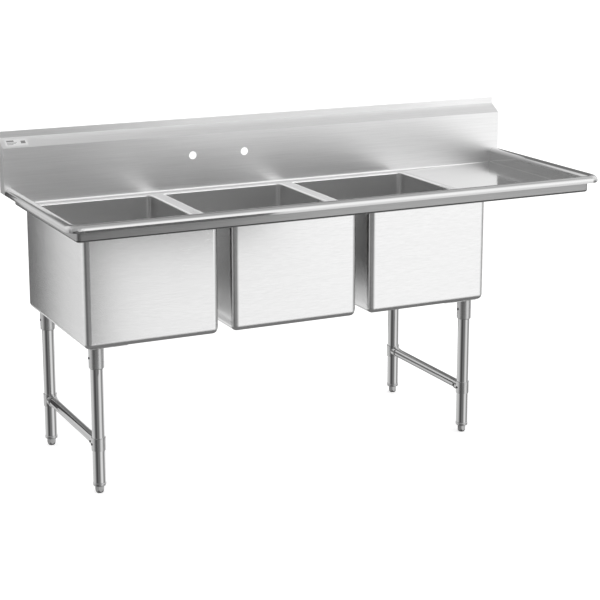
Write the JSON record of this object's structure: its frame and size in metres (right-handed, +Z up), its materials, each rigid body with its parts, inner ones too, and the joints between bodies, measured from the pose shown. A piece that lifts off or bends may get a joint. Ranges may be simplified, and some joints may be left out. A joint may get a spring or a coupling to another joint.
{
  "type": "three compartment sink",
  "caption": "Stainless commercial sink with a row of deep coved bowls, right-hand pitched drainboard, rolled rims, splash, braced round legs and bullet feet.",
  "frame": {"origin": "on the floor, at the centre of the outline seen from above", "axes": "+X to the user's right along the row of bowls, +Y back towards the wall, +Z up"},
  "size_m": [1.9938, 0.7494, 1.1049],
  "materials": {
    "bowl_steel": "satin",
    "deck_steel": "satin",
    "corner_polish": "polished",
    "rim_steel": "satin",
    "splash_steel": "satin",
    "label": "matte",
    "gusset_steel": "mill",
    "socket_steel": "satin",
    "insert_metal": "satin",
    "leg_tube": "satin",
    "tee_casting": "cast",
    "brace_tube": "satin",
    "screw_black": "black oxide",
    "foot_steel": "satin",
    "drain_steel": "polished",
    "locknut_metal": "cast",
    "gasket_rubber": "matte",
    "basket_steel": "polished",
    "post_chrome": "polished",
    "stopper_rubber": "matte"
  },
  "bodies": {
    "sink": {"backsplash": "splash_steel", "blank_label": "label", "bowl_left": "bowl_steel", "bowl_middle": "bowl_steel", "bowl_right": "bowl_steel", "brace_left": "brace_tube", "brace_right": "brace_tube", "brace_tee_back_left": "tee_casting", "brace_tee_back_right": "tee_casting", "brace_tee_front_left": "tee_casting", "brace_tee_front_right": "tee_casting", "deck": "deck_steel", "drain_body_left": "drain_steel", "drain_body_middle": "drain_steel", "drain_body_right": "drain_steel", "drain_gaskets": "gasket_rubber", "drain_locknut_left": "locknut_metal", "drain_locknut_middle": "locknut_metal", "drain_locknut_right": "locknut_metal", "drainboard": "deck_steel", "drainboard_channel": "deck_steel", "gusset_back_left": "gusset_steel", "gusset_back_right": "gusset_steel", "gusset_front_left": "gusset_steel", "gusset_front_right": "gusset_steel", "leg_back_left": "leg_tube", "leg_back_right": "leg_tube", "leg_front_left": "leg_tube", "leg_front_right": "leg_tube", "leg_insert_back_left": "insert_metal", "leg_insert_back_right": "insert_metal", "leg_insert_front_left": "insert_metal", "leg_insert_front_right": "insert_metal", "leg_socket_back_left": "socket_steel", "leg_socket_back_right": "socket_steel", "leg_socket_front_left": "socket_steel", "leg_socket_front_right": "socket_steel", "rim_corner_left": "corner_polish", "rim_corner_right": "corner_polish", "rim_front": "rim_steel", "rim_left": "rim_steel", "rim_right": "rim_steel", "socket_set_screws": "screw_black", "splash_end_left": "splash_steel", "splash_end_right": "splash_steel", "tee_set_screws": "screw_black"},
    "basket_left": {"strainer_basket_left": "basket_steel", "basket_post_left": "post_chrome", "basket_stopper_left": "stopper_rubber"},
    "basket_middle": {"strainer_basket_middle": "basket_steel", "basket_post_middle": "post_chrome", "basket_stopper_middle": "stopper_rubber"},
    "basket_right": {"strainer_basket_right": "basket_steel", "basket_post_right": "post_chrome", "basket_stopper_right": "stopper_rubber"},
    "foot_front_left": {"bullet_foot_front_left": "foot_steel"},
    "foot_front_right": {"bullet_foot_front_right": "foot_steel"},
    "foot_back_left": {"bullet_foot_back_left": "foot_steel"},
    "foot_back_right": {"bullet_foot_back_right": "foot_steel"}
  },
  "joints": [
    {"name": "foot_screw_front_left", "type": "slide", "parent": "sink", "child": "foot_front_left", "axis": [0, 0, -1], "range_m": [0, 0.025]},
    {"name": "foot_screw_front_right", "type": "slide", "parent": "sink", "child": "foot_front_right", "axis": [0, 0, -1], "range_m": [0, 0.025]},
    {"name": "foot_screw_back_left", "type": "slide", "parent": "sink", "child": "foot_back_left", "axis": [0, 0, -1], "range_m": [0, 0.025]},
    {"name": "foot_screw_back_right", "type": "slide", "parent": "sink", "child": "foot_back_right", "axis": [0, 0, -1], "range_m": [0, 0.025]},
    {"name": "basket_lift_left", "type": "slide", "parent": "sink", "child": "basket_left", "axis": [0, 0, 1], "range_m": [0, 0.38]},
    {"name": "basket_lift_middle", "type": "slide", "parent": "sink", "child": "basket_middle", "axis": [0, 0, 1], "range_m": [0, 0.38]},
    {"name": "basket_lift_right", "type": "slide", "parent": "sink", "child": "basket_right", "axis": [0, 0, 1], "range_m": [0, 0.38]}
  ]
}
